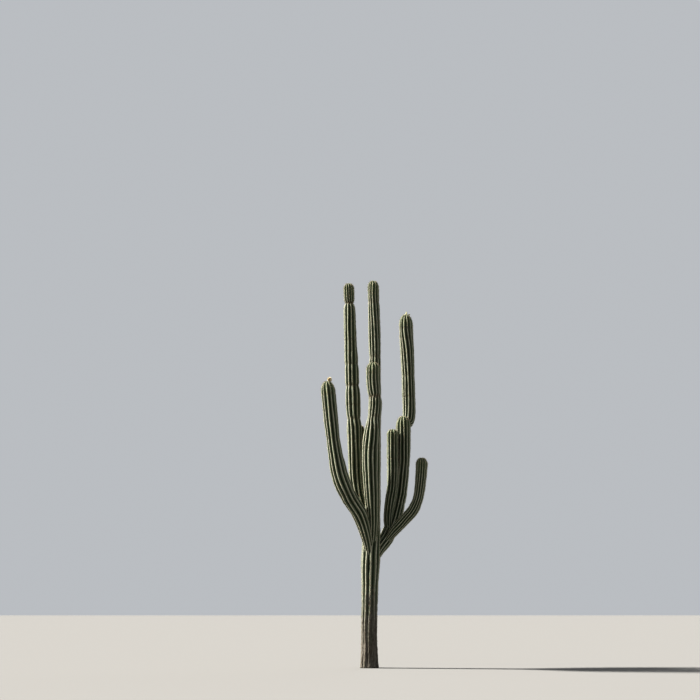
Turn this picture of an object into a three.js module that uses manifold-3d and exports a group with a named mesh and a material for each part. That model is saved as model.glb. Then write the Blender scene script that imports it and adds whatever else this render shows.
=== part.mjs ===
// Giant columnar cactus: one ribbed trunk that runs up to the tallest tip, with
// upright arms fanned round it. Millimetres, +Z up, origin at the centre of the
// trunk's flat cut at ground level, +X to the right and +Y to the back.
//
// Every stem is one loft: a smooth spine through a few named points, a girth that
// changes with height, pinched growth joints, low ribs and a domed tip. An arm that
// bends is made in two pieces, its foot and its upright.
import * as THREE from 'three';
import Module from 'manifold-3d';

// ---------------------------------------------------------------- driving sizes
const GAP = 0.3;              // clearance between two pieces that meet
const RIB_RELIEF = 0.16;      // groove depth as a share of the radius
const CREST_GAIN = 1.015;     // crest radius over the half width seen from the side
const RING_STEP = 520;        // usual distance between two sections of a stem
const FLARE_WIDTH = 34;       // how far the root flare stands out at the ground
const FLARE_HEIGHT = 230;     // height over which the root flare fades
const DOME_SHARES = [0.42, 0.7, 0.9];   // sections in a domed tip

// spine: points on the stem's axis, from its root to its tip
// girth: [height, radius] pairs
// joints: pinched growth joints as [height, share of the radius lost, half length]
// turn: [height, degrees] pairs, where one rib's crest lies, counted from the left
//   through the front
// dome: length of the rounded tip
// split: height at which a bent arm's foot ends and its upright begins
// from: the stem that carries it
const STEMS = {
  trunk: {
    ribs: 11, dome: 215,
    spine: [[0, 0, 0], [-4, 0, 1150], [34, 4, 2700], [106, 8, 4350], [170, 10, 6300],
      [211, 14, 9300], [193, 20, 10700], [164, 24, 12010]],
    girth: [[0, 250], [1150, 238], [2350, 252], [3250, 284], [4350, 246], [6200, 211],
      [8000, 191], [9400, 181], [10050, 189], [11000, 186], [11700, 175]],
    joints: [[7150, 0.10, 110], [9480, 0.07, 90], [11280, 0.08, 90]],
    turn: [[9700, 92], [10370, 88], [10960, 84], [11500, 79], [11950, 86]],
    colour: 0x6f7563,
  },
  far_left_arm: {
    ribs: 11, dome: 330, split: 5225, from: 'trunk',
    spine: [[30, -60, 3230], [-61, -250, 3796], [-291, -520, 4507], [-632, -755, 5035],
      [-863, -845, 5544], [-1030, -872, 6308], [-1153, -880, 7248], [-1229, -880, 8021],
      [-1286, -880, 8522]],
    girth: [[3230, 130], [3895, 185], [4680, 235], [5465, 251], [5935, 237], [6260, 217],
      [6820, 207], [7345, 217], [8040, 218], [8340, 212]],
    joints: [[6745, 0.05, 110], [5105, 0.06, 110]],
    turn: [[5960, 78], [7950, 80]],
    colour: 0x77806b,
  },
  left_tall_arm: {
    ribs: 10, dome: 200, split: 5350, from: 'trunk',
    spine: [[80, 60, 3520], [-30, 190, 4150], [-235, 360, 4800], [-372, 440, 5500],
      [-421, 460, 6580], [-470, 465, 7900], [-512, 465, 8900], [-560, 460, 9980],
      [-590, 455, 11000], [-621, 450, 12057]],
    girth: [[3520, 120], [4200, 170], [5000, 206], [6580, 222], [7760, 232], [8200, 240],
      [8900, 223], [9500, 215], [10000, 197], [11000, 187], [11600, 167]],
    joints: [[7570, 0.10, 90], [8637, 0.13, 90], [9350, 0.08, 80], [11375, 0.25, 75]],
    turn: [[6500, 63], [7200, 63], [7500, 58], [7700, 52], [8200, 52], [9030, 58], [9750, 64],
      [11000, 70]],
    colour: 0x79826c,
  },
  front_arm: {
    ribs: 12, dome: 240, split: 4950, from: 'trunk',
    spine: [[80, -40, 3500], [110, -190, 3980], [120, -370, 4480], [90, -468, 5100],
      [70, -500, 5750], [66, -505, 6300], [75, -507, 6720], [118, -510, 7040],
      [163, -512, 7370], [205, -512, 7900], [146, -508, 8550], [149, -505, 9195]],
    girth: [[3500, 120], [4000, 168], [4600, 202], [5200, 240], [5800, 265], [6290, 271],
      [6720, 265], [6930, 259], [7150, 238], [7370, 213], [7800, 200], [8500, 211],
      [8950, 213]],
    joints: [[7470, 0.08, 110], [8096, 0.17, 100]],
    turn: [[6200, 72], [6500, 73], [6750, 76], [6950, 74], [7150, 71], [7400, 62], [8020, 64],
      [8180, 80]],
    colour: 0x7c856f,
  },
  right_arm: {
    ribs: 12, dome: 330, split: 5120, from: 'trunk',
    spine: [[60, 0, 3000], [232, 120, 3405], [499, 340, 3759], [732, 660, 4225],
      [885, 930, 4735], [986, 1130, 5227], [1074, 1270, 5955], [1137, 1310, 6902],
      [1158, 1310, 7817]],
    girth: [[3000, 130], [3405, 190], [3825, 218], [4670, 225], [5630, 236], [6570, 242],
      [7455, 234]],
    joints: [[4990, 0.07, 90], [6140, 0.05, 90]],
    turn: [[6150, 71], [6705, 67], [7265, 64], [7605, 62]],
    colour: 0x737b66,
  },
  right_tall_arm: {
    ribs: 12, dome: 400, from: 'right_arm',
    spine: [[1200, 1400, 7520], [1300, 1530, 7620], [1350, 1578, 7860], [1352, 1580, 8736],
      [1328, 1580, 9750], [1303, 1580, 10547], [1285, 1580, 11312]],
    girth: [[7520, 128], [7620, 178], [7780, 204], [8010, 210], [9045, 211], [9770, 220],
      [10440, 231], [10900, 229]],
    joints: [[9210, 0.05, 90]],
    turn: [[8630, 85], [9405, 85], [10080, 83], [10770, 69]],
    colour: 0x727a65,
  },
  inner_right_arm: {
    ribs: 10, dome: 165, from: 'right_arm',
    spine: [[624, 450, 3977], [610, 560, 4410], [664, 710, 4874], [748, 860, 5367],
      [783, 1000, 5951], [785, 1040, 6393], [790, 1050, 6852], [795, 1050, 7341]],
    girth: [[3980, 107], [4530, 142], [5340, 165], [6100, 178], [7090, 178]],
    joints: [[5555, 0.08, 80]],
    turn: [[6070, 69]],
    colour: 0x7a836d,
  },
  far_right_arm: {
    ribs: 13, dome: 225, split: 4960, from: 'right_arm',
    spine: [[567, 250, 3774], [826, 160, 4091], [1094, 60, 4369], [1363, 0, 4667],
      [1513, -15, 4995], [1578, -5, 5350], [1625, 0, 5760], [1657, 0, 6277]],
    girth: [[3760, 115], [4150, 162], [4700, 171], [5050, 156], [5400, 162], [5750, 171],
      [6050, 177]],
    joints: [[4880, 0.06, 70]],
    turn: [[5700, 71]],
    colour: 0x6e7662,
  },
  rear_left_arm: {
    ribs: 10, dome: 200, split: 5440, from: 'trunk',
    spine: [[80, 70, 3780], [70, 280, 4199], [10, 570, 4718], [-150, 770, 5243],
      [-291, 828, 5837], [-334, 838, 6585], [-263, 835, 7441]],
    girth: [[3780, 110], [4300, 150], [4995, 168], [7185, 171]],
    joints: [[5290, 0.07, 80], [6545, 0.06, 80]],
    turn: [[5985, 70]],
    colour: 0x757d68,
  },
};

// --------------------------------------------------------------------- measures
// Smooth value through [x, y] pairs, level beyond both ends, with no overshoot.
function smoothThrough(pairs, x) {
  const last = pairs.length - 1;
  if (x <= pairs[0][0]) return pairs[0][1];
  if (x >= pairs[last][0]) return pairs[last][1];
  let k = 0;
  while (x > pairs[k + 1][0]) k += 1;
  const slope = (i) => {
    if (i <= 0 || i >= last) return 0;
    const a = (pairs[i][1] - pairs[i - 1][1]) / (pairs[i][0] - pairs[i - 1][0]);
    const b = (pairs[i + 1][1] - pairs[i][1]) / (pairs[i + 1][0] - pairs[i][0]);
    return a * b <= 0 ? 0 : (2 * a * b) / (a + b);
  };
  const h = pairs[k + 1][0] - pairs[k][0];
  const t = (x - pairs[k][0]) / h;
  const [p, q, m, n] = [pairs[k][1], pairs[k + 1][1], slope(k) * h, slope(k + 1) * h];
  return p * (1 + 2 * t) * (1 - t) ** 2 + m * t * (1 - t) ** 2
    + q * t * t * (3 - 2 * t) - n * t * t * (1 - t);
}

function prepare(name) {
  const stem = STEMS[name];
  const curve = new THREE.CatmullRomCurve3(
    stem.spine.map((p) => new THREE.Vector3(...p)), false, 'centripetal');
  curve.arcLengthDivisions = 1500;
  const length = curve.getLength();
  const lengthAtHeight = (z) => {
    let [low, high] = [0, 1];
    for (let i = 0; i < 40; i += 1) {
      const mid = (low + high) / 2;
      if (curve.getPointAt(mid).z < z) low = mid; else high = mid;
    }
    return ((low + high) / 2) * length;
  };
  const joints = stem.joints.map(([z, loss, half]) => [lengthAtHeight(z), loss, half]);
  return { ...stem, name, curve, length, lengthAtHeight, joints };
}

function radiusAt(stem, s) {
  const z = stem.curve.getPointAt(Math.min(s / stem.length, 1)).z;
  let r = smoothThrough(stem.girth, z);
  for (const [at, loss, half] of stem.joints) {
    r *= 1 - loss * Math.exp(-(((s - at) / half) ** 2));
  }
  if (stem.name === 'trunk') r += FLARE_WIDTH * Math.exp(-z / FLARE_HEIGHT);
  const into = (s - (stem.length - stem.dome)) / stem.dome;
  if (into > 0) r *= Math.sqrt(Math.max(0, 1 - into * into));
  return r * CREST_GAIN;
}

// Distances along the spine where the loft has a section.
function stations(stem, start, end) {
  const domeStart = stem.length - stem.dome;
  const tipped = end >= stem.length;
  const fixed = [start, tipped ? domeStart : end];
  for (const [at, , half] of stem.joints) {
    for (const s of [at - 1.5 * half, at, at + 1.5 * half]) {
      if (s > start + 60 && s < fixed[1] - 60) fixed.push(s);
    }
  }
  if (stem.name === 'trunk') fixed.push(0.6 * FLARE_HEIGHT, 1.8 * FLARE_HEIGHT);
  fixed.sort((a, b) => a - b);
  const all = [];
  for (let i = 0; i < fixed.length - 1; i += 1) {
    const parts = Math.max(1, Math.round((fixed[i + 1] - fixed[i]) / RING_STEP));
    for (let j = 0; j < parts; j += 1) {
      all.push(fixed[i] + ((fixed[i + 1] - fixed[i]) * j) / parts);
    }
  }
  all.push(fixed[fixed.length - 1]);
  if (tipped) for (const share of DOME_SHARES) all.push(domeStart + share * stem.dome);
  return all;
}

// ------------------------------------------------------------------------ lofts
// A closed ribbed body between two distances along a stem, larger all round by grow.
function loft(stem, start, end, grow = 0) {
  const count = 2 * stem.ribs;
  const tipped = end >= stem.length;
  const cuts = stations(stem, start, end);
  const points = [];
  const faces = [];
  const acrossX = new THREE.Vector3(1, 0, 0);
  cuts.forEach((s, k) => {
    const u = Math.min(Math.max(s / stem.length, 0), 1);
    const centre = stem.curve.getPointAt(u);
    const along = stem.curve.getTangentAt(u);
    if (stem.name === 'trunk' && k === 0) along.set(0, 0, 1);
    if (grow && k === 0) centre.addScaledVector(along, -grow);
    if (grow && !tipped && k === cuts.length - 1) centre.addScaledVector(along, grow);
    const side = acrossX.clone().addScaledVector(along, -acrossX.dot(along)).normalize();
    const back = along.clone().cross(side);
    const r = radiusAt(stem, s);
    const turn = THREE.MathUtils.degToRad(180 + smoothThrough(stem.turn, centre.z));
    for (let j = 0; j < count; j += 1) {
      const angle = turn + (2 * Math.PI * j) / count;
      const reach = r * (j % 2 ? 1 - RIB_RELIEF : 1) + grow;
      points.push(centre.clone().addScaledVector(side, reach * Math.cos(angle))
        .addScaledVector(back, reach * Math.sin(angle)));
    }
  });
  const first = points.length;
  points.push(stem.curve.getPointAt(Math.max(start, 0) / stem.length));
  const tip = stem.curve.getPointAt(Math.min(end / stem.length, 1));
  const tipAlong = stem.curve.getTangentAt(Math.min(end / stem.length, 1));
  if (grow) {
    points[first].addScaledVector(stem.curve.getTangentAt(start / stem.length), -grow);
    tip.addScaledVector(tipAlong, grow);
  }
  points.push(tip);
  const lastRing = (cuts.length - 1) * count;
  for (let j = 0; j < count; j += 1) {
    const next = (j + 1) % count;
    faces.push(first, next, j, first + 1, lastRing + j, lastRing + next);
    for (let k = 0; k < cuts.length - 1; k += 1) {
      const [a, b] = [k * count + j, k * count + next];
      faces.push(a, b, b + count, a, b + count, a + count);
    }
  }
  return { points, faces };
}

// -------------------------------------------------------------------- assembly
const wasm = await Module();
wasm.setup();

function asSolid({ points, faces }) {
  const vertProperties = new Float32Array(points.flatMap((p) => [p.x, p.y, p.z]));
  return new wasm.Manifold(new wasm.Mesh({
    numProp: 3, vertProperties, triVerts: new Uint32Array(faces),
  }));
}

function asMesh(name, solid, colour) {
  const { vertProperties, triVerts } = solid.getMesh();
  const geometry = new THREE.BufferGeometry();
  geometry.setAttribute('position', new THREE.BufferAttribute(vertProperties, 3));
  geometry.setIndex(new THREE.BufferAttribute(triVerts, 1));
  geometry.computeVertexNormals();
  const mesh = new THREE.Mesh(geometry, new THREE.MeshStandardMaterial({
    color: colour, roughness: 0.78, metalness: 0,
  }));
  mesh.name = name;
  return mesh;
}

const cactus = new THREE.Group();
cactus.name = 'columnar_cactus';
const groups = {};
const earlier = [];           // each finished stem, grown by the gap

for (const name of Object.keys(STEMS)) {
  const stem = prepare(name);
  const group = new THREE.Group();
  group.name = `${name}_group`;
  groups[name] = group;
  (stem.from ? groups[stem.from] : cactus).add(group);
  const spans = [];
  if (stem.split) {
    const at = stem.lengthAtHeight(stem.split);
    spans.push([`${name}_foot`, 0, at - GAP / 2], [name, at + GAP / 2, stem.length]);
  } else {
    spans.push([name, 0, stem.length]);
  }
  for (const [pieceName, start, end] of spans) {
    let solid = asSolid(loft(stem, start, end));
    for (const other of earlier) solid = solid.subtract(other);
    group.add(asMesh(pieceName, solid, stem.colour));
  }
  for (const [, start, end] of spans) earlier.push(asSolid(loft(stem, start, end, GAP * 1.2)));
}

export default cactus;
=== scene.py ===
import math

import bpy
import numpy as np
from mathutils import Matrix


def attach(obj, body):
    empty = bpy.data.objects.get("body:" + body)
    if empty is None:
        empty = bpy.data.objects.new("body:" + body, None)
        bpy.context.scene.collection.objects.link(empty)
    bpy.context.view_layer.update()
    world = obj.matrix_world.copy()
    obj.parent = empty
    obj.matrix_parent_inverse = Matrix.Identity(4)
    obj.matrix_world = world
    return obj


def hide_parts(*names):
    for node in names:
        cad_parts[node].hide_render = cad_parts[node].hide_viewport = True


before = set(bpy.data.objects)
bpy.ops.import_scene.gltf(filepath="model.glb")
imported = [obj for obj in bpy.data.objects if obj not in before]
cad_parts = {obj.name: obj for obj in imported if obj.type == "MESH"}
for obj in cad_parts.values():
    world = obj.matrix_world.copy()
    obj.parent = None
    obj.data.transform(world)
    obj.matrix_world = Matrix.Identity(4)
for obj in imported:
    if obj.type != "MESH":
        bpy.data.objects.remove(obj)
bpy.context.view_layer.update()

SEED = 7
RIB_STEPS = 12          # vertices across one rib, groove to groove
RING_STEP = 0.031       # usual distance between two rings of a skin
CREST_GAIN = 1.015
CREST_ROUND = 0.9        # under 1: broad ribs with narrow grooves
FLARE_WIDTH, FLARE_HEIGHT = 0.034, 0.23
AREOLE_STEP = 0.031       # usual distance between two areoles on one crest

# ------------------------------------------------------------------ camera, stage
EYE = (-0.579, -34.0, 1.6)
PITCH = math.radians(13.42)
FOCAL_PIXELS = 1100.0

cam_data = bpy.data.cameras.new("camera")
cam_data.sensor_width = 36.0
cam_data.lens = 36.0 * FOCAL_PIXELS / 700.0
cam_data.clip_end = 3000.0
camera = bpy.data.objects.new("camera", cam_data)
camera.location = EYE
camera.rotation_euler = (math.pi / 2 + PITCH, 0.0, 0.0)
bpy.context.scene.collection.objects.link(camera)
bpy.context.scene.camera = camera

# ------------------------------------------------------------------- stem tables
# spine, girth, joints and turn as for the solids, in metres and degrees. relief is
# the groove depth as a share of the radius, and sprout the height at which a new
# shoot of another rib count sits on the old one.
STEMS = {
    "trunk": dict(
        ribs=11, dome=0.215, relief=0.29,
        spine=[(0, 0, 0), (-.004, 0, 1.15), (.034, .004, 2.7), (.106, .008, 4.35),
               (.170, .010, 6.3), (.211, .014, 9.3), (.193, .020, 10.7), (.164, .024, 12.01)],
        girth=[(0, .250), (1.15, .238), (2.35, .252), (3.25, .284), (4.35, .246), (6.2, .211),
               (8.0, .191), (9.4, .181), (10.05, .189), (11.0, .186), (11.7, .175)],
        joints=[(7.15, .10, .11), (9.48, .07, .09), (11.28, .08, .09)],
        turn=[(9.70, 92), (10.37, 88), (10.96, 84), (11.50, 79), (11.95, 86)]),
    "far_left_arm": dict(
        ribs=11, dome=0.33, relief=0.31,
        spine=[(0.030, -0.060, 3.230), (-0.061, -0.250, 3.796), (-0.291, -0.520, 4.507),
               (-0.632, -0.755, 5.035), (-0.863, -0.845, 5.544), (-1.030, -0.872, 6.308),
               (-1.153, -0.880, 7.248), (-1.229, -0.880, 8.021), (-1.286, -0.880, 8.522)],
        girth=[(3.230, 0.130), (3.895, 0.185), (4.680, 0.235), (5.465, 0.251), (5.935, 0.237),
               (6.260, 0.217), (6.820, 0.207), (7.345, 0.217), (8.040, 0.218), (8.340, 0.212)],
        joints=[(6.745, 0.05, 0.110), (5.105, 0.06, 0.110)],
        turn=[(5.96, 78), (7.95, 80)]),
    "left_tall_arm": dict(
        ribs=10, dome=0.20, relief=0.31, sprout=(11.375, 13, 62),
        spine=[(.080, .060, 3.52), (-.030, .190, 4.15), (-.235, .360, 4.8),
               (-.372, .440, 5.5), (-.421, .460, 6.58), (-.470, .465, 7.9),
               (-.512, .465, 8.9), (-.560, .460, 9.98), (-.590, .455, 11.0),
               (-.621, .450, 12.057)],
        girth=[(3.52, .120), (4.2, .170), (5.0, .206), (6.58, .222), (7.76, .232),
               (8.2, .240), (8.9, .223), (9.5, .215), (10.0, .197), (11.0, .187),
               (11.6, .167)],
        joints=[(7.57, .10, .09), (8.637, .13, .09), (9.35, .08, .08), (11.375, .25, .075)],
        turn=[(6.5, 63), (7.2, 63), (7.5, 58), (7.7, 52), (8.2, 52), (9.03, 58), (9.75, 64), (11.0, 70)]),
    "front_arm": dict(
        ribs=12, dome=0.24, relief=0.29,
        spine=[(.080, -.040, 3.5), (.110, -.190, 3.98), (.120, -.370, 4.48),
               (.090, -.468, 5.1), (.070, -.500, 5.75), (.066, -.505, 6.3),
               (.075, -.507, 6.72), (.118, -.510, 7.04), (.163, -.512, 7.37),
               (.205, -.512, 7.9), (.146, -.508, 8.55), (.149, -.505, 9.195)],
        girth=[(3.5, .120), (4.0, .168), (4.6, .202), (5.2, .240), (5.8, .265), (6.29, .271),
               (6.72, .265), (6.93, .259), (7.15, .238), (7.37, .213), (7.8, .200),
               (8.5, .211), (8.95, .213)],
        joints=[(7.47, .08, .11), (8.096, .17, .10)],
        turn=[(6.2, 72), (6.5, 73), (6.75, 76), (6.95, 74), (7.15, 71), (7.4, 62), (8.02, 64),
              (8.18, 80)]),
    "right_arm": dict(
        ribs=12, dome=0.33, relief=0.29,
        spine=[(0.060, 0.000, 3.000), (0.232, 0.120, 3.405), (0.499, 0.340, 3.759),
               (0.732, 0.660, 4.225), (0.885, 0.930, 4.735), (0.986, 1.130, 5.227),
               (1.074, 1.270, 5.955), (1.137, 1.310, 6.902), (1.158, 1.310, 7.817)],
        girth=[(3.000, 0.130), (3.405, 0.190), (3.825, 0.218), (4.670, 0.225), (5.630, 0.236),
               (6.570, 0.242), (7.455, 0.234)],
        joints=[(4.990, 0.07, 0.090), (6.140, 0.05, 0.090)],
        turn=[(6.15, 71), (6.71, 67), (7.26, 64), (7.61, 62)]),
    "right_tall_arm": dict(
        ribs=12, dome=0.40, relief=0.29,
        spine=[(1.200, 1.400, 7.520), (1.300, 1.530, 7.620), (1.350, 1.578, 7.860),
               (1.352, 1.580, 8.736), (1.328, 1.580, 9.750), (1.303, 1.580, 10.547),
               (1.285, 1.580, 11.312)],
        girth=[(7.520, 0.128), (7.620, 0.178), (7.780, 0.204), (8.010, 0.210), (9.045, 0.211),
               (9.770, 0.220), (10.440, 0.231), (10.900, 0.229)],
        joints=[(9.210, 0.05, 0.090)],
        turn=[(8.63, 85), (9.40, 85), (10.08, 83), (10.77, 69)]),
    "inner_right_arm": dict(
        ribs=10, dome=0.165, relief=0.31,
        spine=[(0.624, 0.450, 3.977), (0.610, 0.560, 4.410), (0.664, 0.710, 4.874),
               (0.748, 0.860, 5.367), (0.783, 1.000, 5.951), (0.785, 1.040, 6.393),
               (0.790, 1.050, 6.852), (0.795, 1.050, 7.341)],
        girth=[(3.980, 0.107), (4.530, 0.142), (5.340, 0.165), (6.100, 0.178), (7.090, 0.178)],
        joints=[(5.555, 0.08, 0.080)],
        turn=[(6.07, 69)]),
    "far_right_arm": dict(
        ribs=13, dome=0.225, relief=0.28,
        spine=[(0.567, 0.250, 3.774), (0.826, 0.160, 4.091), (1.094, 0.060, 4.369),
               (1.363, 0.000, 4.667), (1.513, -0.015, 4.995), (1.578, -0.005, 5.350),
               (1.625, 0.000, 5.760), (1.657, 0.000, 6.277)],
        girth=[(3.76, .115), (4.15, .162), (4.7, .171), (5.05, .156), (5.4, .162),
               (5.75, .171), (6.05, .177)],
        joints=[(4.88, .06, .07)],
        turn=[(5.7, 71)]),
    "rear_left_arm": dict(
        ribs=10, dome=0.20, relief=0.31,
        spine=[(0.080, 0.070, 3.780), (0.070, 0.280, 4.199), (0.010, 0.570, 4.718),
               (-0.150, 0.770, 5.243), (-0.291, 0.828, 5.837), (-0.334, 0.838, 6.585),
               (-0.263, 0.835, 7.441)],
        girth=[(3.780, 0.110), (4.300, 0.150), (4.995, 0.168), (7.185, 0.171)],
        joints=[(5.290, 0.07, 0.080), (6.545, 0.06, 0.080)],
        turn=[(5.99, 70)]),
}


# ----------------------------------------------------------------- small helpers
def smooth_through(pairs, x):
    """Smooth value through (x, y) pairs, level beyond both ends, no overshoot."""
    px = np.array([p[0] for p in pairs], float)
    py = np.array([p[1] for p in pairs], float)
    x = np.asarray(x, float)
    if len(px) == 1:
        return np.full(x.shape, py[0])
    step = np.diff(py) / np.diff(px)
    slope = np.zeros(len(px))
    for i in range(1, len(px) - 1):
        a, b = step[i - 1], step[i]
        slope[i] = 0.0 if a * b <= 0 else 2 * a * b / (a + b)
    xc = np.clip(x, px[0], px[-1])
    k = np.clip(np.searchsorted(px, xc, side="right") - 1, 0, len(px) - 2)
    h = px[k + 1] - px[k]
    t = (xc - px[k]) / h
    m, n = slope[k] * h, slope[k + 1] * h
    return (py[k] * (1 + 2 * t) * (1 - t) ** 2 + m * t * (1 - t) ** 2
            + py[k + 1] * t * t * (3 - 2 * t) - n * t * t * (1 - t))


def rng_for(*words):
    value = SEED
    for ch in "/".join(str(w) for w in words):
        value = (value * 131 + ord(ch)) % (2 ** 31 - 1)
    return np.random.RandomState(value)


def ease(t):
    return t * t * (3 - 2 * t)


class Wave:
    """Smooth random values along a length."""
    def __init__(self, rng, scale, length):
        self.scale = scale
        self.v = rng.uniform(-1, 1, int(length / scale) + 4)

    def __call__(self, s):
        x = np.clip(np.asarray(s, float) / self.scale + 1, 0, len(self.v) - 2.001)
        i = x.astype(int)
        t = ease(x - i)
        return self.v[i] * (1 - t) + self.v[i + 1] * t


class Sheet:
    """Smooth random values over a length and round a stem (period `around`)."""
    def __init__(self, rng, around, scale, length):
        self.n, self.scale = around, scale
        self.v = rng.uniform(-1, 1, (around, int(length / scale) + 4))

    def __call__(self, q, s):
        q = np.mod(q, self.n)
        a = np.floor(q).astype(int) % self.n
        b = (a + 1) % self.n
        u = ease(q - np.floor(q))
        x = np.clip(np.asarray(s, float) / self.scale + 1, 0, self.v.shape[1] - 2.001)
        i = x.astype(int)
        t = ease(x - i)
        low = self.v[a, i] * (1 - t) + self.v[a, i + 1] * t
        high = self.v[b, i] * (1 - t) + self.v[b, i + 1] * t
        return low * (1 - u) + high * u


def spine_samples(points, per=160):
    """The centripetal curve through the points, sampled finely."""
    p = [np.array(v, float) for v in points]
    p = [2 * p[0] - p[1]] + p + [2 * p[-1] - p[-2]]
    out = []
    for i in range(1, len(p) - 2):
        d = [max(np.dot(p[i + k] - p[i + k - 1], p[i + k] - p[i + k - 1]) ** 0.25, 1e-6)
             for k in (0, 1, 2)]
        a, b, c, e = p[i - 1], p[i], p[i + 1], p[i + 2]
        t1 = (b - a) / d[0] - (c - a) / (d[0] + d[1]) + (c - b) / d[1]
        t2 = (c - b) / d[1] - (e - b) / (d[1] + d[2]) + (e - c) / d[2]
        t1, t2 = t1 * d[1], t2 * d[1]
        t = np.linspace(0, 1, per, endpoint=False)[:, None]
        out.append(b + t1 * t + (-3 * b + 3 * c - 2 * t1 - t2) * t ** 2
                   + (2 * b - 2 * c + t1 + t2) * t ** 3)
    out.append(p[-2][None])
    return np.concatenate(out)


# --------------------------------------------------------------------- the stems
class Stem:
    def __init__(self, name, table):
        self.name = name
        self.__dict__.update(table)
        self.at = spine_samples(self.spine)
        gaps = np.linalg.norm(np.diff(self.at, axis=0), axis=1)
        self.s = np.concatenate([[0], np.cumsum(gaps)])
        self.length = self.s[-1]
        self.tan = np.gradient(self.at, self.s, axis=0)
        self.tan /= np.linalg.norm(self.tan, axis=1)[:, None]
        rng = rng_for(name, "shape")
        L = self.length
        self.joint_s = [(float(np.interp(z, self.at[:, 2], self.s)), loss, half)
                        for z, loss, half in self.joints]
        # Faint growth rings between the pinched joints
        s, self.rings = L - rng.uniform(.35, .55), []
        while s > 0.5:
            if all(abs(s - j[0]) > 0.22 for j in self.joint_s):
                self.rings.append((s, rng.uniform(.012, .035), rng.uniform(.02, .035)))
            s -= rng.uniform(.32, .75)
        self.swell = Wave(rng, .42, L)
        self.ripple = Wave(rng, .13, L)
        self.lean = Sheet(rng, self.ribs, .55, L)
        self.fat = Sheet(rng, self.ribs, .38, L)
        self.knob = Sheet(rng, self.ribs, .085, L)
        self.rough = Sheet(rng, self.ribs * 6, .045, L)

    def place(self, s):
        s = np.clip(s, 0, self.length)
        c = np.stack([np.interp(s, self.s, self.at[:, i]) for i in range(3)], -1)
        t = np.stack([np.interp(s, self.s, self.tan[:, i]) for i in range(3)], -1)
        if self.name == "trunk":   # the flat cut lies in the ground plane
            w = np.clip(np.asarray(s) / 0.5, 0, 1)[..., None]
            t = t * w + np.array([0, 0, 1.0]) * (1 - w)
        t /= np.linalg.norm(t, axis=-1)[..., None]
        side = np.array([1.0, 0, 0]) - t * t[..., :1]
        side /= np.linalg.norm(side, axis=-1)[..., None]
        return c, t, side, np.cross(t, side)

    def radius(self, s):
        s = np.asarray(s, float)
        z = np.interp(s, self.s, self.at[:, 2])
        r = smooth_through(self.girth, z)
        for at, loss, half in self.joint_s:      # creased growth joints
            d = np.abs(s - at) / half
            r = r * (1 - loss * (0.62 * np.exp(-d ** 1.15) + 0.38 * np.exp(-d * d)))
        for at, loss, half in self.rings:
            r = r * (1 - loss * np.exp(-(np.abs(s - at) / half) ** 1.3))
        if self.name == "trunk":
            r = r + FLARE_WIDTH * np.exp(-z / FLARE_HEIGHT)
        r = r * (1 + 0.012 * self.swell(s) + 0.006 * self.ripple(s))
        into = (s - (self.length - self.dome)) / self.dome
        return r * np.sqrt(np.clip(1 - np.clip(into, 0, 1) ** 2, 0, 1)) * CREST_GAIN

    def turn_at(self, s):
        z = np.interp(s, self.s, self.at[:, 2])
        return np.radians(180 + smooth_through(self.turn, z))

    def depth(self, s):
        """Groove depth: shallower low on the trunk, at the joints and on the tip."""
        z = np.interp(s, self.s, self.at[:, 2])
        d = np.full(np.shape(s), self.relief)
        if self.name == "trunk":
            d = d * (0.34 + 0.66 * ease(np.clip((z - 0.3) / 3.2, 0, 1)))
        else:
            d = d * (0.55 + 0.45 * ease(np.clip(np.asarray(s) / 1.3, 0, 1)))
        for at, loss, half in self.joint_s:
            d = d * (1 - min(0.45, 3.2 * loss) * np.exp(-(np.abs(s - at) / (0.6 * half)) ** 1.4))
        into = np.clip((s - (self.length - self.dome)) / self.dome, 0, 1)
        return d * (1 - 0.35 * into ** 3)

    def surface(self, s, q, ribs=None, turn=None):
        """Points on the skin at distance s, q ribs round from the first crest."""
        ribs = ribs or self.ribs
        s, q = np.broadcast_arrays(np.asarray(s, float), np.asarray(q, float))
        c, along, side, back = self.place(s)
        turn = self.turn_at(s) if turn is None else math.radians(180 + turn)
        scale = self.ribs / ribs
        angle = turn + 2 * np.pi / ribs * (q + 0.085 * self.lean(q * scale, s))
        crest = np.abs(np.cos(np.pi * q)) ** CREST_ROUND
        r = self.radius(s)
        into = np.clip((s - (self.length - self.dome)) / self.dome, 0, 1)
        fade = 1 - into ** 2
        r = r * (1 - self.depth(s) * (1 - crest))
        r = r * (1 + fade * (0.020 * self.fat(q * scale, s) * (0.4 + 0.6 * crest)))
        r = r + fade * 0.0035 * crest ** 3 * self.knob(q * scale, s)
        z = c[..., 2]
        if self.name == "trunk":   # corky relief and root lobes near the ground
            cork = np.clip(1 - (z - 0.6) / 2.2, 0, 1)
            r = r + cork * 0.0075 * self.rough(q * scale * 6, s)
            lobes = np.exp(-z / 0.20) * 0.020
            r = r + lobes * (0.5 * np.cos(5 * angle + 0.7) + 0.5 * np.cos(3 * angle + 2.1))
        else:
            r = r + fade * 0.0012 * self.rough(q * scale * 6, s)
        out = side * np.cos(angle)[..., None] + back * np.sin(angle)[..., None]
        full = self.radius(np.full(1, self.length - self.dome))[0]
        dip = 0.07 * full * np.exp(-(r / (0.22 * full)) ** 2) * (into > 0.3)
        return c + out * r[..., None] - along * dip[..., None]

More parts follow.
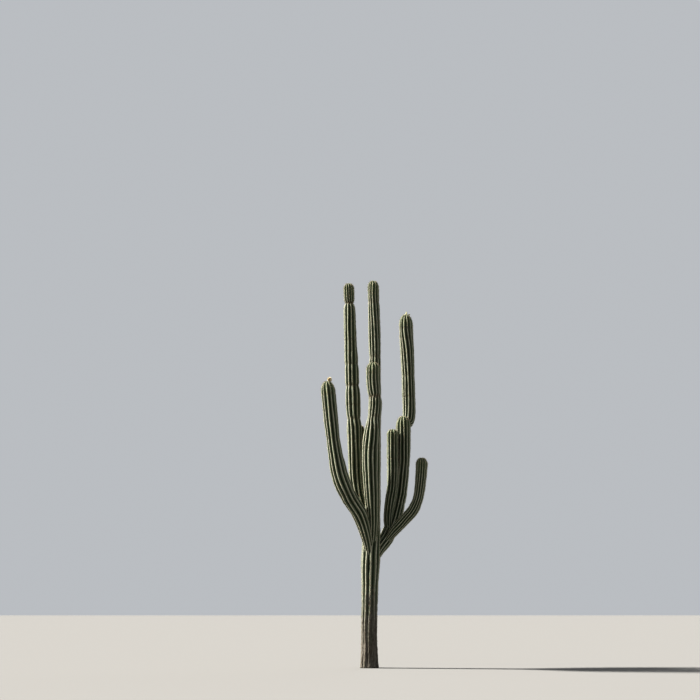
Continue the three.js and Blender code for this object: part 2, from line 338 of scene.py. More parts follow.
    def rings_between(self, s0, s1, tipped):
        end = self.length - self.dome if tipped else s1
        marks = list(np.linspace(s0, end, max(2, int(round((end - s0) / RING_STEP)) + 1)))
        for at, loss, half in self.joint_s:
            if loss > 0.06:
                marks += [m for m in at + half * np.linspace(-0.9, 0.9, 9) if s0 + .01 < m < end - .01]
        marks = sorted(marks)
        keep = [marks[0]]
        for m in marks[1:-1]:
            if m - keep[-1] > 0.008:
                keep.append(m)
        if end - keep[-1] < 0.008:
            keep.pop()
        keep.append(end)
        if tipped:
            steps = np.sin(np.linspace(0, np.pi / 2, 17))[1:-1]
            keep += list(end + self.dome * steps)
        return np.array(keep)


def new_object(name, mesh):
    ob = bpy.data.objects.new(name, mesh)
    bpy.context.scene.collection.objects.link(ob)
    return ob


def build_mesh(name, verts, polys, smooth=True):
    """polys is a list of (n, k) arrays of vertex numbers."""
    me = bpy.data.meshes.new(name)
    me.vertices.add(len(verts))
    me.vertices.foreach_set("co", np.asarray(verts, np.float32).ravel())
    loops = np.concatenate([p.ravel() for p in polys]).astype(np.int32)
    sizes = np.concatenate([np.full(len(p), p.shape[1]) for p in polys])
    starts = np.concatenate([[0], np.cumsum(sizes)[:-1]]).astype(np.int32)
    me.loops.add(len(loops))
    me.loops.foreach_set("vertex_index", loops)
    me.polygons.add(len(sizes))
    me.polygons.foreach_set("loop_start", starts)
    me.polygons.foreach_set("use_smooth", np.full(len(sizes), smooth))
    me.update(calc_edges=True)
    return me


def skin_part(stem, s0, s1, tipped, ribs, turn, offset):
    """One closed ribbed shell: vertices, faces, the three paint values and a map."""
    s = stem.rings_between(s0, s1, tipped)
    m = ribs * RIB_STEPS
    q = np.arange(m) / RIB_STEPS
    S, Q = np.meshgrid(s, q, indexing="ij")
    # the shell of an old shoot closes inside the new one
    pts = stem.surface(S, Q, ribs, turn)
    c, along, _, _ = stem.place(s)
    tip = c[-1] if not tipped else stem.surface(np.array([stem.length - 1e-5]), np.array([0.0]))[0]
    n = len(s)
    if not tipped:
        pts = np.concatenate([pts, (c[-1] + (pts[-1] - c[-1]) * 0.72 + along[-1] * 0.012)[None],
                              (c[-1] + (pts[-1] - c[-1]) * 0.35 + along[-1] * 0.016)[None]])
        tip = c[-1] + along[-1] * 0.017
        s = np.concatenate([s, [s[-1], s[-1]]])
        n += 2
    foot = c[0].copy()
    verts = np.concatenate([pts.reshape(-1, 3), foot[None], tip[None]])
    j = np.arange(m)
    jn = (j + 1) % m
    k = (np.arange(n - 1) * m)[:, None]
    quads = np.stack([k + j, k + jn, k + jn + m, k + j + m], -1).reshape(-1, 4)
    foot_fan = np.stack([np.full(m, n * m), jn, j], -1)
    tip_fan = np.stack([np.full(m, n * m + 1), (n - 1) * m + j, (n - 1) * m + jn], -1)
    # paint values: groove depth, distance from the tip, nearness to a growth joint
    crest = np.abs(np.cos(np.pi * q)) ** CREST_ROUND
    groove = np.tile(1 - crest, (n, 1)).ravel()
    from_tip = np.repeat(stem.length - s, m)
    pinch = np.zeros(n)
    for at, loss, half in stem.joint_s:
        pinch = np.maximum(pinch, min(1, 6 * loss) * np.exp(-(np.abs(s - at) / (0.45 * half)) ** 1.5))
    for at, loss, half in stem.rings:
        pinch = np.maximum(pinch, min(.6, 14 * loss) * np.exp(-(np.abs(s - at) / (0.9 * half)) ** 1.5))
    pinch = np.repeat(pinch, m)
    pad = lambda a, x, y: np.concatenate([a, [x, y]])
    paints = dict(groove=pad(groove, 0.5, 0.3), from_tip=pad(from_tip, stem.length - s[0], stem.length - s[-1]),
                  pinch=pad(pinch, 0, 0))
    # a map in upright strips, folded so that its squares stay nearly square
    girth = 2 * np.pi * float(np.median(stem.radius(s))) * 1.25
    span = s[-1] - s[0] + 1e-3
    columns = max(1, int(round(math.sqrt(span / girth))))
    v_all = (s - s[0]) / span * columns
    ring_col = np.minimum((v_all[:-1] + 1e-9).astype(int), columns - 1)
    wide = 1.0 / columns
    u0 = (ring_col * wide)[:, None]
    uj0 = u0 + wide * (0.01 + 0.97 * (j / m))[None]
    uj1 = u0 + wide * (0.01 + 0.97 * ((j + 1) / m))[None]
    low = np.clip(v_all[:-1] - ring_col, 0, 1)[:, None] * 0.93 + 0.03
    high = np.clip(v_all[1:] - ring_col, 0, 1)[:, None] * 0.93 + 0.03
    lows, highs = np.broadcast_to(low, uj0.shape), np.broadcast_to(high, uj0.shape)
    uv_q = np.stack([np.stack([uj0, lows], -1), np.stack([uj1, lows], -1),
                     np.stack([uj1, highs], -1), np.stack([uj0, highs], -1)], 2).reshape(-1, 2)
    ang = 2 * np.pi * j / m
    ang2 = 2 * np.pi * (j + 1) / m
    disc = lambda a, cx: np.stack([cx + 0.008 * np.cos(a), 0.990 + 0.008 * np.sin(a)], -1)
    mid = lambda cx: np.tile([cx, 0.990], (m, 1))
    uv_f = np.stack([mid(.02), disc(ang2, .02), disc(ang, .02)], 1).reshape(-1, 2)
    uv_t = np.stack([mid(.05), disc(ang, .05), disc(ang2, .05)], 1).reshape(-1, 2)
    return (verts, quads + offset, np.concatenate([foot_fan, tip_fan]) + offset, paints,
            uv_q, np.concatenate([uv_f, uv_t]))


def make_skin(stem):
    parts = []
    if hasattr(stem, "sprout"):
        z, ribs2, turn2 = stem.sprout
        cut = float(np.interp(z, stem.at[:, 2], stem.s))
        parts.append((0.0, cut, False, stem.ribs, None))
        parts.append((cut - 0.004, stem.length, True, ribs2, turn2))
    else:
        parts.append((0.0, stem.length, True, stem.ribs, None))
    verts, quads, tris, uvq, uvt, paints = [], [], [], [], [], {}
    offset = 0
    for index, (s0, s1, tipped, ribs, turn) in enumerate(parts):
        v, qd, tr, pa, uq, ut = skin_part(stem, s0, s1, tipped, ribs, turn, offset)
        offset += len(v)
        squeeze = len(parts)
        for uv in (uq, ut):
            uv[:, 0] = (uv[:, 0] + index) / squeeze
        verts.append(v), quads.append(qd), tris.append(tr), uvq.append(uq), uvt.append(ut)
        for key, value in pa.items():
            paints.setdefault(key, []).append(value)
    me = build_mesh(stem.name + "_skin", np.concatenate(verts),
                    [np.concatenate(quads), np.concatenate(tris)])
    for key, value in paints.items():
        layer = me.attributes.new(key, "FLOAT", "POINT")
        layer.data.foreach_set("value", np.concatenate(value).astype(np.float32))
    uv = me.uv_layers.new(name="OFBake")
    uv.data.foreach_set("uv", np.concatenate(uvq + uvt).astype(np.float32).ravel())
    return new_object(stem.name + "_skin", me)


# --------------------------------------------------------------------- materials
def node(nt, kind, **values):
    n = nt.nodes.new(kind)
    for key, value in values.items():
        if key in n.bl_rna.properties:
            setattr(n, key, value)
        else:
            n.inputs[key].default_value = value
    return n


def attribute(nt, name):
    return node(nt, "ShaderNodeAttribute", attribute_name=name).outputs["Fac"]


def span(nt, value, a, b, to0=0.0, to1=1.0, smooth=True):
    n = nt.nodes.new("ShaderNodeMapRange")
    n.interpolation_type = "SMOOTHSTEP" if smooth else "LINEAR"
    nt.links.new(value, n.inputs["Value"])
    n.inputs["From Min"].default_value, n.inputs["From Max"].default_value = a, b
    n.inputs["To Min"].default_value, n.inputs["To Max"].default_value = to0, to1
    return n.outputs["Result"]


def maths(nt, op, a, b=None):
    n = nt.nodes.new("ShaderNodeMath")
    n.operation = op
    for i, x in enumerate((a, b)):
        if x is None:
            continue
        if isinstance(x, (int, float)):
            n.inputs[i].default_value = x
        else:
            nt.links.new(x, n.inputs[i])
    return n.outputs[0]


def blend(nt, fac, a, b, mode="MIX"):
    n = nt.nodes.new("ShaderNodeMix")
    n.data_type, n.blend_type = "RGBA", mode
    for socket, x in ((n.inputs[0], fac), (n.inputs[6], a), (n.inputs[7], b)):
        if isinstance(x, (int, float)):
            socket.default_value = x
        elif isinstance(x, tuple):
            socket.default_value = (*x, 1.0)
        else:
            nt.links.new(x, socket)
    return n.outputs[2]


def noise(nt, vector, scale, detail=3.0, rough=0.55):
    n = nt.nodes.new("ShaderNodeTexNoise")
    n.inputs["Scale"].default_value = scale
    n.inputs["Detail"].default_value = detail
    n.inputs["Roughness"].default_value = rough
    nt.links.new(vector, n.inputs["Vector"])
    return n.outputs["Fac"]


def stretched(nt, vector, xyz):
    n = nt.nodes.new("ShaderNodeMapping")
    n.inputs["Scale"].default_value = xyz
    nt.links.new(vector, n.inputs["Vector"])
    return n.outputs["Vector"]


def wobble(nt, vector, scale, amount):
    """The vector, pushed about by a soft noise."""
    n = nt.nodes.new("ShaderNodeTexNoise")
    n.inputs["Scale"].default_value = scale
    n.inputs["Detail"].default_value = 2.0
    nt.links.new(vector, n.inputs["Vector"])
    centred = nt.nodes.new("ShaderNodeVectorMath")
    centred.operation = "SUBTRACT"
    centred.inputs[1].default_value = (.5, .5, .5)
    nt.links.new(n.outputs["Color"], centred.inputs[0])
    push = nt.nodes.new("ShaderNodeVectorMath")
    push.operation = "SCALE"
    push.inputs["Scale"].default_value = amount
    nt.links.new(centred.outputs[0], push.inputs[0])
    total = nt.nodes.new("ShaderNodeVectorMath")
    total.operation = "ADD"
    nt.links.new(vector, total.inputs[0])
    nt.links.new(push.outputs[0], total.inputs[1])
    return total.outputs[0]


def skin_material(name, tone=1.0, corky=False):
    """Waxy grey-green skin: dusty crests lightened as a painted highlight, grooves darkened as painted shade, corky
    scars and an old foot.
    """
    mat = bpy.data.materials.new(name)
    mat.use_nodes = True
    nt = mat.node_tree
    p = nt.nodes["Principled BSDF"]
    where = nt.nodes.new("ShaderNodeTexCoord").outputs["Object"]
    groove, from_tip, pinch = (attribute(nt, k) for k in ("groove", "from_tip", "pinch"))
    green = (.066 * tone, .090 * tone, .046 * tone)
    pale = (.104 * tone, .126 * tone, .080 * tone)
    grey = (.119 * tone, .124 * tone, .096 * tone)
    big = noise(nt, where, 1.7, 4)
    mid = noise(nt, where, 9.0, 4)
    fine = noise(nt, where, 70.0, 3)
    streak = noise(nt, stretched(nt, where, (30, 30, 1.6)), 1.0, 4, 0.6)
    base = blend(nt, span(nt, big, .35, .68), green, pale)
    base = blend(nt, span(nt, streak, .45, .72, 0, .55), base, grey)
    # dust and wax on the crests, pale enough to be partly a painted highlight: every crest is lightened all round
    # as if sunlit
    crest = span(nt, groove, .21, .0)
    base = blend(nt, maths(nt, "MULTIPLY", crest, span(nt, mid, .3, .7, .35, .8)), base,
                 (.275 * tone, .284 * tone, .218 * tone))
    # a worn line of felt along each crest, whitened so that it also works as a painted highlight along the crests
    felt = maths(nt, "MULTIPLY", span(nt, groove, .06, .0), span(nt, fine, .38, .6, .40, .92))
    base = blend(nt, felt, base, (.50, .47, .395))
    # painted shade: the grooves are darkened towards near black and stay greener, standing in for the shade that
    # falls in them
    groove_shade = span(nt, groove, .30, .82)
    base = blend(nt, maths(nt, "MULTIPLY", groove_shade, .92), base, (.015, .022, .011))
    # young growth near the tip is fresher
    young = span(nt, from_tip, .75, .05)
    base = blend(nt, maths(nt, "MULTIPLY", young, .40), base, (.118, .158, .070))
    # brown rims at the growth joints
    base = blend(nt, maths(nt, "MULTIPLY", pinch, span(nt, mid, .3, .6, .4, .95)), base,
                 (.095, .076, .048))
    # corky scars, few on the arms and many low on the trunk
    spots = nt.nodes.new("ShaderNodeTexVoronoi")
    spots.inputs["Scale"].default_value = 9.0
    spots.inputs["Randomness"].default_value = 1.0
    nt.links.new(stretched(nt, where, (1, 1, .55)), spots.inputs["Vector"])
    near = maths(nt, "ADD", spots.outputs["Distance"], maths(nt, "MULTIPLY", mid, .22))
    old = span(nt, from_tip, 1.5, 9.5)
    scar = span(nt, maths(nt, "SUBTRACT", near, maths(nt, "MULTIPLY", old, .16)), .245, .17)
    scar = maths(nt, "MULTIPLY", scar, span(nt, noise(nt, where, 2.6, 2), .44, .60))
    base = blend(nt, maths(nt, "MULTIPLY", scar, .85), base, (.165, .132, .092))
    height_sum = maths(nt, "ADD", maths(nt, "MULTIPLY", fine, .35), maths(nt, "MULTIPLY", mid, .8))
    rough = span(nt, mid, .3, .7, .58, .78)
    if corky:
        up = nt.nodes.new("ShaderNodeSeparateXYZ")
        nt.links.new(where, up.inputs[0])
        # old bark climbs the crests in long fingers and thins out over metres
        edge = maths(nt, "ADD", up.outputs["Z"], maths(nt, "MULTIPLY", big, -2.2))
        edge = maths(nt, "ADD", edge, maths(nt, "MULTIPLY", streak, -2.6))
        edge = maths(nt, "ADD", edge, maths(nt, "MULTIPLY", crest, -.35))
        edge = maths(nt, "ADD", edge, maths(nt, "MULTIPLY", mid, -.9))
        bark = span(nt, edge, -.25, -2.15)
        wander = wobble(nt, where, 7.0, .055)
        plates = nt.nodes.new("ShaderNodeTexVoronoi")
        plates.feature = "DISTANCE_TO_EDGE"
        plates.inputs["Scale"].default_value = 1.0
        nt.links.new(stretched(nt, wander, (38, 38, 8)), plates.inputs["Vector"])
        worn = span(nt, noise(nt, where, 5.0, 2), .40, .60)
        crack = span(nt, plates.outputs["Distance"], .0, .11)
        crack = maths(nt, "SUBTRACT", 1.0, maths(nt, "MULTIPLY", maths(nt, "SUBTRACT", 1.0, crack), worn))
        split = noise(nt, stretched(nt, wander, (34, 34, 3.2)), 1.0, 5, .62)
        ridge = span(nt, split, .36, .60)
        flake = noise(nt, stretched(nt, where, (60, 60, 38)), 1.0, 4, .6)
        tint = blend(nt, span(nt, big, .38, .64), (.092, .080, .064), (.134, .124, .106))
        tint = blend(nt, span(nt, flake, .44, .62, 0, .75), tint, (.195, .182, .155))
        tint = blend(nt, span(nt, mid, .58, .72, 0, .55), tint, (.100, .112, .072))
        tint = blend(nt, span(nt, ridge, 1, 0, 0, .78), tint, (.050, .040, .030))
        tint = blend(nt, span(nt, crack, 1, 0, 0, .48), tint, (.046, .038, .030))
        base = blend(nt, bark, base, tint)
        grain = maths(nt, "ADD", maths(nt, "MULTIPLY", crack, .7), maths(nt, "MULTIPLY", ridge, 1.6))
        grain = maths(nt, "ADD", grain, maths(nt, "MULTIPLY", flake, .9))
        height_sum = maths(nt, "ADD", height_sum, maths(nt, "MULTIPLY", grain, bark))
        rough = maths(nt, "MAXIMUM", rough, maths(nt, "MULTIPLY", bark, .92))
    nt.links.new(base, p.inputs["Base Color"])
    nt.links.new(rough, p.inputs["Roughness"])
    p.inputs["Specular IOR Level"].default_value = 0.32
    height = maths(nt, "ADD", height_sum, maths(nt, "MULTIPLY", scar, .9))
    bump = nt.nodes.new("ShaderNodeBump")
    bump.inputs["Strength"].default_value = 0.48
    bump.inputs["Distance"].default_value = 0.006
    nt.links.new(height, bump.inputs["Height"])
    nt.links.new(bump.outputs["Normal"], p.inputs["Normal"])
    return mat


def plain_material(name, colour, rough=0.7, shine=0.3):
    mat = bpy.data.materials.new(name)
    mat.use_nodes = True
    p = mat.node_tree.nodes["Principled BSDF"]
    p.inputs["Base Color"].default_value = (*colour, 1)
    p.inputs["Roughness"].default_value = rough
    p.inputs["Specular IOR Level"].default_value = shine
    return mat


# ------------------------------------------------------------------ build skins
stems = {name: Stem(name, table) for name, table in STEMS.items()}
NODES = {
    "trunk": ["trunk"],
    "far_left_arm": ["far_left_arm_foot", "far_left_arm"],
    "left_tall_arm": ["left_tall_arm_foot", "left_tall_arm"],
    "front_arm": ["front_arm_foot", "front_arm"],
    "right_arm": ["right_arm_foot", "right_arm"],
    "right_tall_arm": ["right_tall_arm"],
    "inner_right_arm": ["inner_right_arm"],
    "far_right_arm": ["far_right_arm_foot", "far_right_arm"],
    "rear_left_arm": ["rear_left_arm_foot", "rear_left_arm"],
}
for name, stem in stems.items():
    skin = make_skin(stem)
    tone = 0.94 + 0.12 * rng_for(name, "tone").rand()
    skin.data.materials.append(skin_material(name + "_skin", tone, corky=name == "trunk"))
    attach(skin, "root")
    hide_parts(*NODES[name])


# ----------------------------------------------------------- areoles and spines
def unit(v):
    return v / np.maximum(np.linalg.norm(v, axis=-1, keepdims=True), 1e-9)


def hidden(stem, points):
    """Which points lie inside another stem."""
    out = np.zeros(len(points), bool)
    for other in stems.values():
        if other is stem:
            continue
        near = slice(None, None, 8)
        at, s = other.at[near], other.s[near]
        lo, hi = at.min(0) - 0.35, at.max(0) + 0.35
        inside = np.all((points > lo) & (points < hi), axis=1)
        for k in np.flatnonzero(inside):
            d = np.linalg.norm(at - points[k], axis=1)
            i = int(d.argmin())
            if d[i] < float(other.radius(s[i])) * 0.97:
                out[k] = True
    return out


def areole_places(stem):
    """Points along every crest with the skin's normal and the way up the rib."""
    runs = [(0.05, stem.length - 0.012, stem.ribs, None)]
    if hasattr(stem, "sprout"):
        z, ribs2, turn2 = stem.sprout
        cut = float(np.interp(z, stem.at[:, 2], stem.s))
        runs = [(0.05, cut - 0.012, stem.ribs, None), (cut + 0.016, stem.length - 0.012, ribs2, turn2)]
    P, N, T, tip = [], [], [], []
    for s0, s1, ribs, turn in runs:
        for rib in range(ribs):
            rng = rng_for(stem.name, "areoles", s0, rib)
            s, at = [], s0 + rng.uniform(0, AREOLE_STEP)
            while at < s1:
                s.append(at)
                left = stem.length - at
                at += AREOLE_STEP * rng.uniform(.82, 1.18) * (0.62 + 0.38 * min(1, left / 0.6))
            s = np.array(s)
            # only every other rib reaches the middle of the crown
            reach = stem.length - stem.dome * (0.012 if rib % 2 else 0.05)
            s = s[s < reach]
            q = rib + rng.normal(0, .012, len(s))
            here = stem.surface(s, q, ribs, turn)
            up = unit(stem.surface(s + .006, q, ribs, turn) - stem.surface(s - .006, q, ribs, turn))
            c, along, _, _ = stem.place(s)
            away = here - c
            away = unit(away - along * np.sum(away * along, -1, keepdims=True))
            normal = unit(away - up * np.sum(away * up, -1, keepdims=True))
            P.append(here), N.append(normal), T.append(up), tip.append(stem.length - s)
    P, N, T, tip = (np.concatenate(a) for a in (P, N, T, tip))
    keep = ~hidden(stem, P)
    return P[keep], N[keep], T[keep], tip[keep]


def pads_mesh(P, N, T, wide, tall, high):
    """Six-sided felt cushions."""
    B = np.cross(T, N)
    a = np.arange(6) * np.pi / 3
    rim = (P[:, None] + B[:, None] * (np.cos(a)[None, :, None] * wide[:, None, None])
           + T[:, None] * (np.sin(a)[None, :, None] * tall[:, None, None]) - N[:, None] * 0.0015)
    top = P + N * high[:, None]
    verts = np.concatenate([top[:, None], rim], 1).reshape(-1, 3)
    k = np.arange(len(P))[:, None] * 7
    j = np.arange(6)
    tris = np.stack([np.broadcast_to(k, (len(P), 6)), k + 1 + j, k + 1 + (j + 1) % 6], -1).reshape(-1, 3)
    return verts, tris


def spikes_mesh(base, way, length, width, rng):
    """Three-sided spikes."""
    ref = unit(np.cross(way, rng.normal(size=way.shape)))
    ref2 = np.cross(way, ref)
    a = np.arange(3) * 2 * np.pi / 3
    ring = base[:, None] + (ref[:, None] * np.cos(a)[None, :, None]
                            + ref2[:, None] * np.sin(a)[None, :, None]) * (width / 2)[:, None, None]
    tip = base + way * length[:, None]
    verts = np.concatenate([ring, tip[:, None]], 1).reshape(-1, 3)
    k = np.arange(len(base))[:, None] * 4
    j = np.arange(3)
    tris = np.stack([k + j, k + (j + 1) % 3, np.broadcast_to(k + 3, (len(base), 3))], -1).reshape(-1, 3)
    return verts, tris


def joined(name, chunks, material):
    """One mesh from (verts, tris) chunks."""
    verts, tris, offset = [], [], 0
    for v, t in chunks:
        verts.append(v), tris.append(t + offset)
        offset += len(v)
    ob = new_object(name, build_mesh(name, np.concatenate(verts), [np.concatenate(tris)], smooth=False))
    ob.data.materials.append(material)
    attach(ob, "root")
    return ob


KINDS = {   # plain colours, dealt out spine by spine
    "spines_ash": (.36, .34, .295),
    "spines_cream": (.52, .465, .36),
    "spines_straw": (.50, .37, .21),
    "spines_dark": (.115, .085, .065),
}
spikes = {kind: [] for kind in KINDS}
pads = {"areoles_tan": [], "areoles_grey": []}
for name, stem in stems.items():
    P, N, T, tip = areole_places(stem)
    rng = rng_for(name, "spines")
    n = len(P)
    young = np.exp(-tip / 0.45)                      # 1 at the tip
    low = np.clip((2.4 - P[:, 2]) / 2.0, 0, 1) if name == "trunk" else np.zeros(n)
    size = (0.85 + 0.3 * rng.rand(n)) * (1 + 0.25 * young) * (1 - 0.25 * low)
    alive = rng.rand(n) > 0.75 * low
    shade = rng.rand(n) < 0.35 + 0.5 * young
    for kind, pick in (("areoles_tan", shade & alive), ("areoles_grey", ~shade & alive)):
        pads[kind].append(pads_mesh(P[pick], N[pick], T[pick], .0062 * size[pick], .0085 * size[pick],
                                    .0042 * size[pick]))
    B = np.cross(T, N)
    # radial spines lie out over the crest, one or two central ones stand up
    for slot_no in range(9):
        central = slot_no < 2
        odds = (1.0, .55, 1, 1, 1, .9, .8, .35, .2)[slot_no] + (.5 if slot_no > 6 else .3) * young
        pick = alive & (rng.rand(n) < odds * (1 - .5 * low))
        m = int(pick.sum())
        turn = rng.uniform(0, 2 * np.pi, m) if central else \
            (slot_no - 2) * 2 * np.pi / 6.2 + rng.normal(0, .28, m)
        rise = np.radians(rng.uniform(48, 80, m) if central else rng.uniform(12, 42, m))
        way = unit((B[pick] * np.cos(turn)[:, None] + T[pick] * np.sin(turn)[:, None]) * np.cos(rise)[:, None]
                   + N[pick] * np.sin(rise)[:, None] - T[pick] * (.25 if central else 0))
        length = (rng.uniform(.020, .036, m) if central else rng.uniform(.013, .026, m)) \
            * size[pick] * (1 + .35 * young[pick])
        width = np.where(central, .0030, .0024) * size[pick]
        base = P[pick] + N[pick] * .0012 + T[pick] * (rng.uniform(-.003, .003, m))[:, None]
        deal = rng.rand(m)
        if central:
            which = np.where(deal < .45, 2, np.where(deal < .75, 3, 0))
        else:
            which = np.where(deal < .46, 0, np.where(deal < .84, 1, np.where(deal < .96, 2, 3)))
        for i, kind in enumerate(KINDS):
            g = which == i
            if g.any():
                spikes[kind].append(spikes_mesh(base[g], way[g], length[g], width[g], rng))

for kind, chunks in pads.items():
    joined(kind, chunks, plain_material(kind, (.34, .27, .185) if kind == "areoles_tan" else (.30, .285, .25), .9))
for kind, chunks in spikes.items():
    material = plain_material(kind, KINDS[kind], .5)
    total = sum(len(t) for v, t in chunks)
    parts = int(total // 185000) + 1
    per = math.ceil(len(chunks) / parts)
    # chunks are dealt out so that every part stays under 200,000 triangles
    groups, sizes = [[] for _ in range(parts)], [0] * parts
    for v, t in sorted(chunks, key=lambda c: -len(c[1])):
        g = sizes.index(min(sizes))
        groups[g].append((v, t))
        sizes[g] += len(t)
    for g, group in enumerate(groups):
        joined(kind if parts == 1 else "%s_%d" % (kind, g + 1), group, material)


# ------------------------------------------------------------ fruit and buds
def blob(centre, axis, wide, tall, rings=9, sides=14, bumps=0.0, rng=None):
    """A closed ovoid round an axis: wide across, tall along."""
    axis = unit(np.asarray(axis, float))
    ref = unit(np.cross(axis, [0.3, 1.0, 0.2]))
    ref2 = np.cross(axis, ref)
    verts = [np.asarray(centre, float) - axis * tall / 2]
    for i in range(1, rings):
        a = math.pi * i / rings
        r, h = math.sin(a) ** 0.85 * wide / 2, -math.cos(a) * tall / 2
        for j in range(sides):
            b = 2 * math.pi * (j + 0.5 * (i % 2)) / sides
            k = 1 + (bumps * rng.uniform(-1, 1) if rng is not None else 0)
            verts.append(np.asarray(centre) + axis * h + (ref * math.cos(b) + ref2 * math.sin(b)) * r * k)
    verts.append(np.asarray(centre, float) + axis * tall / 2)
    tris = []
    last = len(verts) - 1
    for j in range(sides):
        n = (j + 1) % sides
        tris.append((0, 1 + n, 1 + j))
        top = 1 + (rings - 2) * sides
        tris.append((last, top + j, top + n))
        for i in range(rings - 2):
            a, b = 1 + i * sides, 1 + (i + 1) * sides
            tris += [(a + j, a + n, b + j), (a + n, b + n, b + j)]
    return np.array(verts), np.array(tris)


def around(axis, count, rng, low=-0.75, high=1.0):
    """Even directions over a ball, from low to high along the axis."""
    axis = unit(np.asarray(axis, float))
    ref = unit(np.cross(axis, [0.3, 1.0, 0.2]))
    ref2 = np.cross(axis, ref)
    h = low + (high - low) * (np.arange(count) + 0.5) / count
    a = np.arange(count) * 2.39996 + rng.normal(0, .12, count)
    r = np.sqrt(1 - h * h)
    return (axis * h[:, None] + ref * (r * np.cos(a))[:, None] + ref2 * (r * np.sin(a))[:, None]), h


def mottled(name, dark, light, scale, rough=.7, lift=.002):
    """Two tones mixed by a fine noise, with the same noise as relief."""
    mat = plain_material(name, dark, rough)
    nt = mat.node_tree
    p = nt.nodes["Principled BSDF"]
    where = nt.nodes.new("ShaderNodeTexCoord").outputs["Object"]
    grain = noise(nt, where, scale, 4, .6)
    nt.links.new(blend(nt, span(nt, grain, .38, .64), dark, light), p.inputs["Base Color"])
    nt.links.new(span(nt, grain, .3, .7, rough - .1, rough + .12), p.inputs["Roughness"])
    bump = nt.nodes.new("ShaderNodeBump")
    bump.inputs["Strength"].default_value = .6
    bump.inputs["Distance"].default_value = lift
    nt.links.new(grain, bump.inputs["Height"])
    nt.links.new(bump.outputs["Normal"], p.inputs["Normal"])
    return mat


def burr(name, centre, axis, wide, tufts, length):
    """A round fruit under a thick coat of pale bristles, in tufts on small cushions."""
    rng = rng_for(name)
    centre = np.asarray(centre, float)
    body = joined(name, [blob(centre, axis, wide, wide * 1.06, 12, 20, .02, rng)],
                  mottled(name, (.085, .050, .030), (.165, .105, .055), 60.0))
    body.data.polygons.foreach_set("use_smooth", np.ones(len(body.data.polygons), bool))
    way, h = around(axis, tufts, rng, -.88, 1.0)
    foot = centre + way * wide / 2 * .97
    coat = {0: [], 1: []}
    up = unit(np.asarray(axis, float) - way * (way @ unit(np.asarray(axis, float)))[:, None] + 1e-4)
    felt = pads_mesh(foot + way * .001, way, up, np.full(tufts, .0050), np.full(tufts, .0050),
                     np.full(tufts, .0030))
    joined(name + "_felt", [felt], plain_material(name + "_felt", (.46, .38, .25), .9))
    for k in range(9):
        lean = unit(way + rng.normal(0, .34, way.shape))
        long = length * rng.uniform(.55, 1.15, tufts) * (1.0 if k else 1.2)
        deal = rng.rand(tufts) < .68
        for tone, pick in ((0, deal), (1, ~deal)):
            coat[tone].append(spikes_mesh(foot[pick], lean[pick], long[pick],
                                          np.full(int(pick.sum()), .0029), rng))
    for tone, colour in ((0, (.86, .81, .66)), (1, (.74, .62, .40))):
        joined(name + "_bristles_%d" % (tone + 1), coat[tone],
               plain_material(name + "_bristles_%d" % (tone + 1), colour, .45))


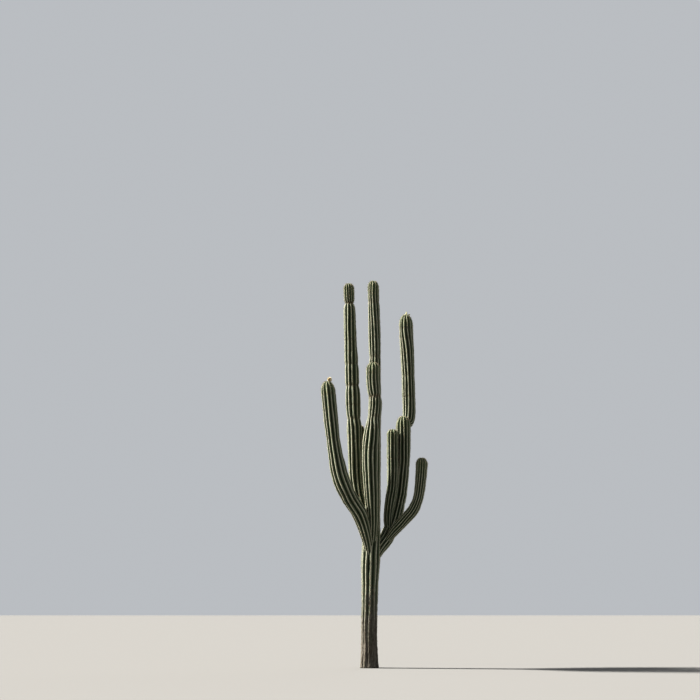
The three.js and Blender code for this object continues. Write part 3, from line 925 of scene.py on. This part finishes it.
def bud(name, foot, axis, wide, tall):
    """A pointed bud in overlapping pale scales, bristly between them."""
    rng = rng_for(name)
    axis = unit(np.asarray(axis, float))
    count = 120
    centre = np.asarray(foot, float) + axis * tall * .46
    body = joined(name, [blob(centre, axis, wide, tall, 12, 16)],
                  mottled(name, (.20, .24, .10), (.36, .37, .20), 90.0, .6))
    body.data.polygons.foreach_set("use_smooth", np.ones(len(body.data.polygons), bool))
    way, h = around(axis, count, rng, -.9, .97)
    out = unit(way - axis * h[:, None])
    base = centre + axis * (h * tall / 2)[:, None] + out * (np.sqrt(1 - h * h) ** .85 * wide / 2 * .96)[:, None]
    lie = unit(axis + out * (.35 - .25 * h)[:, None])
    side = np.cross(lie, out)
    size = wide * .24
    verts = np.stack([base - side * size * .5, base - lie * size * .5, base + side * size * .5,
                      base + lie * size * 1.5 + out * .003, base + lie * size * .4 + out * .0045], 1).reshape(-1, 3)
    k = np.arange(count)[:, None] * 5
    tris = np.concatenate([k + np.array(t) for t in ((0, 1, 4), (1, 2, 4), (2, 3, 4), (3, 0, 4))])
    joined(name + "_scales", [(verts, tris)], plain_material(name + "_scales", (.66, .64, .46), .6))
    hair = unit(out + axis * .8 + rng.normal(0, .25, out.shape))
    joined(name + "_bristles", [spikes_mesh(base, hair, wide * rng.uniform(.16, .30, count),
                                            np.full(count, .0019), rng)],
           plain_material(name + "_bristles", (.78, .74, .60), .5))


burr("tip_fruit", (-1.209, -0.900, 8.566), (.35, -.1, .93), .110, 300, .030)
bud("tip_bud_1", (1.306, 1.560, 11.272), (.06, -.04, 1.0), .048, .125)
bud("tip_bud_2", (1.330, 1.560, 11.262), (.88, -.08, .50), .034, .120)
bud("tip_bud_3", (1.268, 1.600, 11.276), (-.35, .45, .80), .036, .070)

# --------------------------------------------------------------- light and floor
sun = bpy.data.lights.new("key", "SUN")
sun.energy = 12.5
sun.angle = math.radians(6)
sun.color = (1.0, 0.965, 0.91)
key = bpy.data.objects.new("key", sun)
azimuth, height = math.radians(9), math.radians(37)
toward = (-math.cos(azimuth) * math.cos(height), math.sin(azimuth) * math.cos(height), math.sin(height))
from mathutils import Vector
key.rotation_euler = Vector(toward).to_track_quat("Z", "Y").to_euler()
bpy.context.scene.collection.objects.link(key)

back_fill = bpy.data.lights.new("fill", "SUN")
back_fill.energy = 1.3
back_fill.angle = math.radians(60)
fill = bpy.data.objects.new("fill", back_fill)
fill.rotation_euler = Vector((.55, .75, .35)).to_track_quat("Z", "Y").to_euler()
bpy.context.scene.collection.objects.link(fill)

world = bpy.data.worlds.new("world")
world.use_nodes = True
world.node_tree.nodes["Background"].inputs["Color"].default_value = (0.93, 0.96, 1.0, 1)
world.node_tree.nodes["Background"].inputs["Strength"].default_value = 0.42
bpy.context.scene.world = world
bpy.context.scene.view_settings.view_transform = "Standard"
bpy.context.scene.view_settings.look = "High Contrast"

floor_mesh = build_mesh("floor", np.array([(-600, -600, 0), (600, -600, 0), (600, 600, 0), (-600, 600, 0)], float),
                        [np.array([[0, 1, 2, 3]])])
floor = new_object("floor", floor_mesh)
floor.location.z = -0.002
floor.data.materials.append(plain_material("floor", (.178, .176, .171), 1.0, 0.0))
